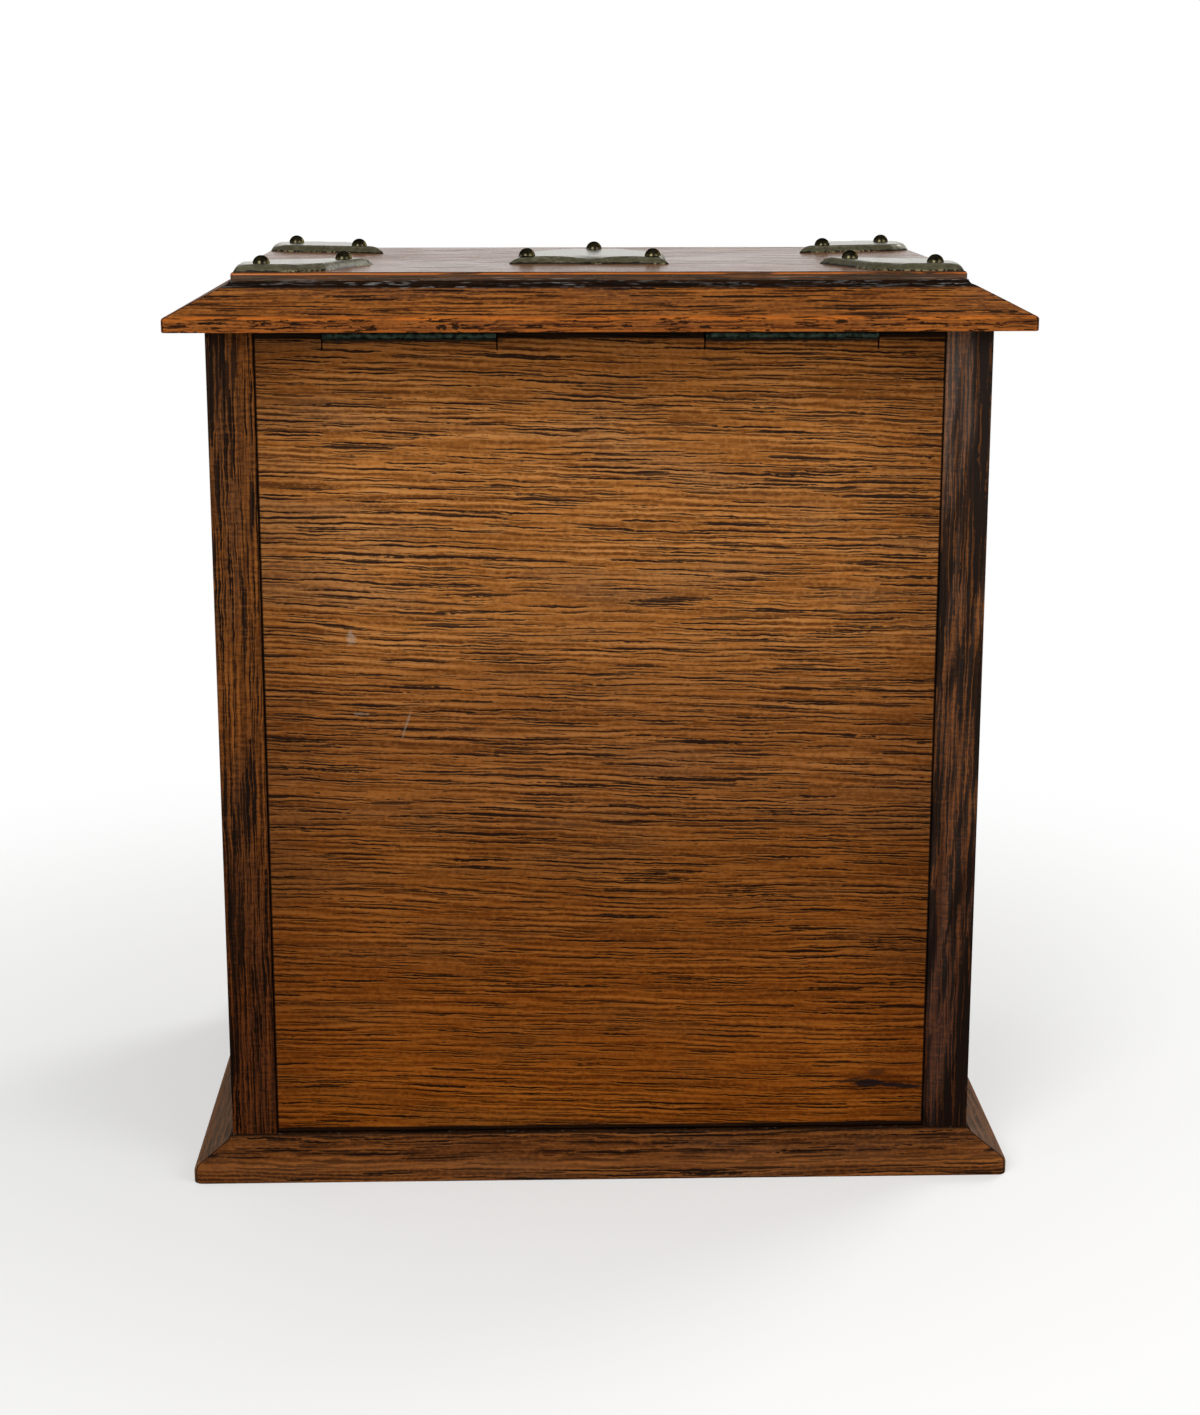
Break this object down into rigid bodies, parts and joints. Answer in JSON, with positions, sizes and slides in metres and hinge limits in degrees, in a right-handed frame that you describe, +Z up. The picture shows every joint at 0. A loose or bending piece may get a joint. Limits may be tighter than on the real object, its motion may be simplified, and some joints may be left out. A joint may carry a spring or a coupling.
{
  "type": "stationery box",
  "caption": "Upright oak box for letter paper, with a bevelled lift-up lid, a hinged fall front, a stepped rack inside, a mitred plinth and studded brass mounts.",
  "frame": {"origin": "on the floor, under the middle of the box", "axes": "+Z up, -Y towards the fall front and lock, +Y towards the back panel with the lid hinges, +X to the right seen from the front"},
  "size_m": [0.318, 0.218, 0.3549],
  "materials": {
    "oak_panel": "waxed oak, grain across",
    "oak_frame": "waxed oak, grain upright",
    "oak_moulding": "waxed oak, grain along the strip",
    "oak_top": "polished oak",
    "oak_front": "waxed oak, grain across",
    "oak_inside": "plain oak",
    "mount_brass": "aged, polished on top",
    "hinge_brass": "dark patina",
    "lock_brass": "plain",
    "screw_steel": "dull"
  },
  "bodies": {
    "case": {"back_panel": "oak_panel", "bottom_board": "oak_inside", "fall_hinge_case_leaf_left": "hinge_brass", "fall_hinge_case_leaf_right": "hinge_brass", "fall_hinge_case_screws": "screw_steel", "fall_hinge_pin_left": "hinge_brass", "fall_hinge_pin_right": "hinge_brass", "left_side_board": "oak_frame", "lid_hinge_case_leaf_left": "hinge_brass", "lid_hinge_case_leaf_right": "hinge_brass", "lid_hinge_case_screws": "screw_steel", "lid_hinge_pin_left": "hinge_brass", "lid_hinge_pin_right": "hinge_brass", "plinth_back": "oak_moulding", "plinth_front": "oak_moulding", "plinth_left": "oak_moulding", "plinth_right": "oak_moulding", "plinth_screws": "screw_steel", "rack_cheek_left": "oak_inside", "rack_cheek_right": "oak_inside", "rack_divider_back": "oak_inside", "rack_divider_front": "oak_inside", "rack_divider_middle": "oak_inside", "rack_front_rail": "oak_inside", "right_side_board": "oak_frame", "stop_bead_left": "oak_inside", "stop_bead_right": "oak_inside"},
    "lid": {"corner_mount_back_left": "mount_brass", "corner_mount_back_right": "mount_brass", "corner_mount_front_left": "mount_brass", "corner_mount_front_right": "mount_brass", "corner_studs": "mount_brass", "lid_hinge_moving_leaf_left": "hinge_brass", "lid_hinge_moving_leaf_right": "hinge_brass", "lid_hinge_moving_screws": "screw_steel", "lid_moulding_back": "oak_moulding", "lid_moulding_front": "oak_moulding", "lid_moulding_left": "oak_moulding", "lid_moulding_right": "oak_moulding", "lid_top_board": "oak_top", "shield_mount": "mount_brass", "shield_studs": "mount_brass", "strike_plate": "lock_brass", "strike_screws": "screw_steel"},
    "fall": {"bolt_pivot": "lock_brass", "escutcheon_plate": "mount_brass", "escutcheon_studs": "mount_brass", "fall_front": "oak_front", "fall_hinge_moving_leaf_left": "hinge_brass", "fall_hinge_moving_leaf_right": "hinge_brass", "fall_hinge_moving_screws": "screw_steel", "key_pin": "lock_brass", "lock_case": "lock_brass", "lock_cover": "lock_brass", "lock_screws": "screw_steel"},
    "hook": {"hook_bolt": "lock_brass"}
  },
  "joints": [
    {"name": "lid_hinge", "type": "hinge", "parent": "case", "child": "lid", "pos_m": [0, 0.096, 0.3272], "axis": [-1, 0, 0], "range_deg": [0, 100]},
    {"name": "fall_hinge", "type": "hinge", "parent": "case", "child": "fall", "pos_m": [0, -0.096, 0.0168], "axis": [1, 0, 0], "range_deg": [0, 91]},
    {"name": "hook_turn", "type": "hinge", "parent": "fall", "child": "hook", "pos_m": [0.01, -0.0872, 0.3163], "axis": [0, 1, 0], "range_deg": [0, 75]}
  ]
}
